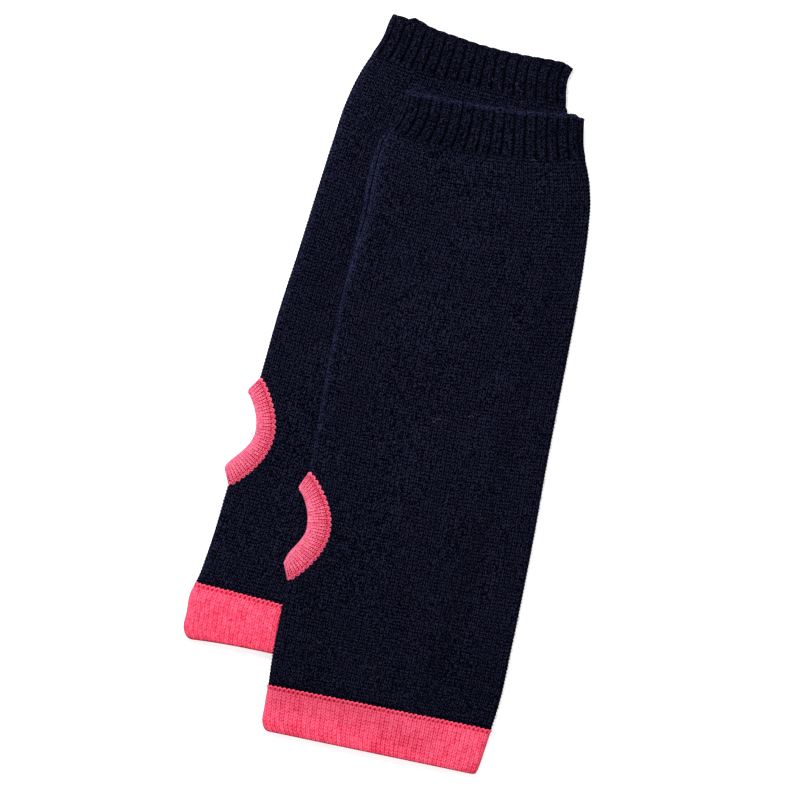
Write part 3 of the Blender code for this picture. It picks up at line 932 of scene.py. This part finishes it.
def makeLint(material):
    lines = []
    for x, y, heading, length in lint["bits"]:
        turn = math.radians(heading)
        along, aside = length * np.array(lint["curve"]).T
        bitX = x + along * math.cos(turn) - aside * math.sin(turn)
        bitY = y + along * math.sin(turn) + aside * math.cos(turn)
        warmer = upperWarmer
        place, up = fromTable(warmer, x, y)
        if up > heightOn(warmer["cuffEdge"], 0.5) or place < foldAt(warmer, 1, up):
            warmer = lowerWarmer
        place, up = fromTable(warmer, bitX, bitY)
        across = 2 * (place - foldAt(warmer, 1, up)) / girthAt(warmer, up)
        height = topHeight(warmer, up, across) + foldHeight(warmer, place, up, across)
        height = height + restingHeight(warmer, place, up) + lint["above"]
        lines.append(np.stack([bitX, bitY, height], axis=1))
    yarnLines("lint", lines, lint["radius"], material, "body_knit")


# Wool. Colours are linear: in the gaps, on the yarn, and on yarn of the other cast that is spun in with it.
# The strengths say how far each thing shifts the shade, from 0 in the gaps to 1 on the palest yarn.
# nap is the pale colour of brushed nap, which also paints a highlight; shadow is how far painted shade
# darkens towards black
pinkWool = {
    "mottle": 0.4, "paleNapHighlight": 0.5, "shadow": 0.25, "sheen": 0.02, "tint": (1.0, 0.75, 0.8), "bump": 0.0004,
}
wool = {
    "navy": {
        "deep": (0.0004, 0.0004, 0.0018), "lit": (0.0104, 0.0129, 0.0278), "cast": (0.0128, 0.0117, 0.0266),
        "nap": (0.0062, 0.0078, 0.0192), "tint": (0.45, 0.55, 1.0),
        "middle": 0.19, "stitch": 1.65, "chance": 0.20, "fibre": 7.5, "mottle": 0.1, "slow": 0.3,
        "napLightAndShade": 0.10, "paleNapHighlight": 1.0, "shadow": 0.45, "sheen": 0.005, "bump": 0.0005,
    },
    "pinkHem": {
        "deep": (0.50, 0.002, 0.025), "lit": (0.80, 0.103, 0.185), "cast": (0.80, 0.083, 0.158),
        "nap": (0.03, 0.04, 0.05), **pinkWool,
        "middle": 0.66, "stitch": 0.88, "chance": 0.30, "fibre": 0.9, "slow": 0.3, "napLightAndShade": 0.5,
    },
    "pinkBand": {
        "deep": (0.44, 0.002, 0.025), "lit": (0.78, 0.178, 0.283), "cast": (0.78, 0.142, 0.240),
        "nap": (0.03, 0.05, 0.06), **pinkWool,
        "middle": 0.77, "stitch": 1.55, "chance": 0.35, "fibre": 1.0, "slow": 0.4, "napLightAndShade": 0.6,
    },
    "lint": {
        "deep": (0.05, 0.05, 0.07), "lit": (0.17, 0.17, 0.20), "cast": (0.22, 0.20, 0.20),
        "tint": (1.0, 1.0, 1.0),
        "middle": 0.6, "fibre": 0.6, "mottle": 0.3, "slow": 0.0, "sheen": 0.0, "bump": 0.0001,
    },
}
wool["navyRib"] = {**wool["navy"], "fibre": 5.0}
grain = {"fibre": 1900, "cast": 900, "mottle": 700, "slow": 30}     # how fine each is, as a noise scale


def addNode(tree, kind, inputs, **settings):
    node = tree.nodes.new("ShaderNode" + kind)
    for key, value in settings.items():
        setattr(node, key, value)
    for slot, value in inputs.items():
        if isinstance(value, bpy.types.NodeSocket):
            tree.links.new(value, node.inputs[slot])
        else:
            node.inputs[slot].default_value = value
    return node


def calculate(tree, operation, first, second=0.0, third=0.0):
    return addNode(tree, "Math", {0: first, 1: second, 2: third}, operation=operation).outputs[0]


def shifted(tree, shade, value, middle, strength):
    # adds how far a value is from its middle, times a strength
    change = calculate(tree, "MULTIPLY", calculate(tree, "SUBTRACT", value, middle), strength)
    return calculate(tree, "ADD", shade, change)


def noise(tree, place, scale, detail):
    return addNode(tree, "TexNoise", {"Vector": place, "Scale": scale, "Detail": detail}).outputs[0]


def stitchNodes(tree, knit):
    # the same V stitch as in the meshes, drawn finely from the stitch map
    do = partial(calculate, tree)
    place = addNode(tree, "UVMap", {}, uv_map="stitches").outputs[0]
    wale, course, _ = addNode(tree, "SeparateXYZ", {0: place}).outputs
    side = do("ABSOLUTE", do("SUBTRACT", do("FRACT", wale), 0.5))
    leg = do("SINE", do("MULTIPLY", side, 2 * math.pi))
    leg = do("POWER", do("MAXIMUM", leg, 0.0), stitchForm["leg"])
    floor = do("MULTIPLY", do("LESS_THAN", side, 0.25), knit["centre"])
    across = do("ADD", floor, do("MULTIPLY", do("SUBTRACT", 1.0, floor), leg))
    turn = do("FRACT", do("SUBTRACT", course, do("MULTIPLY", side, 2 * knit["lean"])))
    crest = do("SINE", do("MULTIPLY", turn, math.pi))
    crest = do("POWER", do("MAXIMUM", crest, 0.0), stitchForm["course"])
    dip = stitchForm["dip"]
    height = do("MULTIPLY", across, do("MULTIPLY_ADD", crest, 1 - dip, dip))
    half = do("FLOOR", do("MULTIPLY", wale, 2.0))
    cell = addNode(tree, "CombineXYZ", {0: half, 1: do("FLOOR", course)}).outputs[0]
    chance = addNode(tree, "TexWhiteNoise", {0: cell}, noise_dimensions="3D").outputs[0]
    return height, chance


def blended(tree, share, first, second, kind="MIX"):
    inputs = {"Factor": share}
    for slot, colour in ((6, first), (7, second)):
        inputs[slot] = (*colour, 1) if isinstance(colour, tuple) else colour
    return addNode(tree, "Mix", inputs, data_type="RGBA", blend_type=kind).outputs[2]


def newMaterial(name, sockets):
    material = bpy.data.materials.new(name)
    material.use_nodes = True
    shader = material.node_tree.nodes["Principled BSDF"]
    for socket, value in sockets.items():
        shader.inputs[socket].default_value = value
    return material, shader


def knitMaterial(name, look, knit=None, lift=0.0):
    # the knit's stitches are drawn where one is given, and the lift makes the whole shade paler
    material, shader = newMaterial(name, {
        "Roughness": 0.95,
        "Specular IOR Level": 0.0,
        "Sheen Weight": look["sheen"],
        "Sheen Roughness": 0.45,
        "Sheen Tint": (*look["tint"], 1),
    })
    tree = material.node_tree
    do = partial(calculate, tree)
    place = addNode(tree, "TexCoord", {}).outputs["Object"]
    fibre = noise(tree, place, grain["fibre"], 2)
    shade = shifted(tree, look["middle"] + lift, fibre, 0.5, look["fibre"])
    for spread in ("mottle", "slow"):
        shade = shifted(tree, shade, noise(tree, place, grain[spread], 2), 0.5, look[spread])
    relief = fibre
    if knit:
        height, chance = stitchNodes(tree, knit)
        gaps = addNode(tree, "Attribute", {}, attribute_name="gaps").outputs["Fac"]
        napLightAndShade = addNode(tree, "Attribute", {}, attribute_name="napLightAndShade").outputs["Fac"]
        shade = shifted(tree, shade, height, 0.6, do("MULTIPLY", gaps, look["stitch"]))
        shade = shifted(tree, shade, chance, 0.5, look["chance"])
        shade = shifted(tree, shade, napLightAndShade, 0.0, look["napLightAndShade"])
        relief = do("MULTIPLY_ADD", fibre, 0.6, height)
    lightness = do("POWER", addNode(tree, "Clamp", {0: shade}).outputs[0], 1.5)
    twist = do("MULTIPLY_ADD", noise(tree, place, grain["cast"], 1), 5.0, -2.0)
    colour = blended(tree, lightness, look["deep"], blended(tree, twist, look["lit"], look["cast"]))
    if knit:
        # places above zero get pale tufts of nap that also paint a highlight, and those below zero get
        # painted shade towards black
        tufts = do("MAXIMUM", do("MULTIPLY_ADD", fibre, 6.0, -2.2), 0.0)
        paleNapHighlight = do("MULTIPLY", do("MULTIPLY", napLightAndShade, look["paleNapHighlight"]), tufts)
        colour = blended(tree, paleNapHighlight, colour, look["nap"], "ADD")
        shadow = do("MULTIPLY_ADD", napLightAndShade, look["shadow"], 1.0)
        colour = blended(tree, shadow, (0, 0, 0), colour)
    tree.links.new(colour, shader.inputs["Base Color"])
    bump = addNode(tree, "Bump", {"Height": relief, "Strength": 0.9, "Distance": look["bump"]})
    tree.links.new(bump.outputs[0], shader.inputs["Normal"])
    return material


def makeWarmer(warmer, materials):
    pieces = {
        "body": knitTube(warmer, "body", body, materials["body"], bodyRelief),
        "cuff": knitTube(warmer, "cuff", cuff, materials["cuff"], cuffRelief),
        "hem": knitTube(warmer, "hem", hem, materials["hem"], hemRelief),
        "hemChain": makeHemChain(warmer, materials["hemYarn"]),
        "band": makeBand(warmer, materials["band"]),
        "bandChain": makeBandChain(warmer, materials["bandYarn"]),
        "bodyNap": makeNap(warmer, "navy", materials["navyHair"], "body_knit"),
        "hemNap": makeNap(warmer, "pink", materials["pinkHair"], "hem_knit"),
    }
    for piece in pieces.values():
        print(piece.name, sum(len(face.vertices) - 2 for face in piece.data.polygons), "triangles")


materials = {
    "body": knitMaterial("navyKnit", wool["navy"], body),
    "cuff": knitMaterial("navyRib", wool["navyRib"], cuff, lift=0.08),
    "hem": knitMaterial("pinkHem", wool["pinkHem"], hem),
    "band": knitMaterial("pinkBand", wool["pinkBand"], band),
    "hemYarn": knitMaterial("pinkHemYarn", wool["pinkHem"], lift=0.10),
    "bandYarn": knitMaterial("pinkBandYarn", wool["pinkBand"], lift=-0.05),
    "navyHair": knitMaterial("navyHair", wool["navy"], lift=0.8),
    "pinkHair": knitMaterial("pinkHair", wool["pinkBand"], lift=-0.3),
    "lint": knitMaterial("lint", wool["lint"]),
}
print("materials made")
makeWarmer(lowerWarmer, materials)
makeWarmer(upperWarmer, materials)
makeLint(materials["lint"])
print("warmers made")

# The table, the light and the camera
studio = {
    "pixel": 0.408,         # millimetres to a pixel of the photograph
    "frame": 800,
    "centre": (5.3, -2.2, 5.0),
    "lens": 200.0,
    "sensor": 36.0,
    "floor": (0.45, 0.45, 0.45),
    "floorSize": 3000.0,
    "floorDrop": 0.3,       # below the pair
    "floorGlow": 0.72,
    "world": 0.70,
    "key": 22.0,
    "keyFrom": (-280, 620, 900),
    "keySize": 520,
}


def makeTable():
    mesh = gridMesh("table", 2, 2, studio["floorSize"] * mm)
    mesh.transform(Matrix.Translation((0, 0, -studio["floorDrop"] * mm)))
    mesh.materials.append(newMaterial("tablePaint", {
        "Base Color": (*studio["floor"], 1),
        "Roughness": 0.9,
        "Specular IOR Level": 0.1,
        "Emission Color": (1, 1, 1, 1),
        "Emission Strength": studio["floorGlow"],
    })[0])
    addObject("table", mesh)


def makeLight():
    world = bpy.data.worlds.new("studioWorld")
    world.use_nodes = True
    background = world.node_tree.nodes["Background"]
    background.inputs["Color"].default_value = (1, 1, 1, 1)
    background.inputs["Strength"].default_value = studio["world"]
    bpy.context.scene.world = world
    lamp = bpy.data.lights.new("key", "AREA")
    lamp.shape = "SQUARE"
    lamp.size = studio["keySize"] * mm
    lamp.energy = studio["key"]
    key = addObject("key", lamp)
    key.location = Vector(studio["keyFrom"]) * mm
    key.rotation_euler = (-key.location).to_track_quat("-Z", "Y").to_euler()


def makeCamera():
    lens = bpy.data.cameras.new("camera")
    lens.lens = studio["lens"]
    lens.sensor_width = studio["sensor"]
    camera = addObject("camera", lens)
    away = studio["pixel"] * studio["frame"] * lens.lens / lens.sensor_width
    camera.location = (Vector(studio["centre"]) + Vector((0, 0, away))) * mm
    bpy.context.scene.camera = camera
    bpy.context.scene.view_settings.view_transform = "Standard"


makeTable()
makeLight()
makeCamera()
print("studio made")
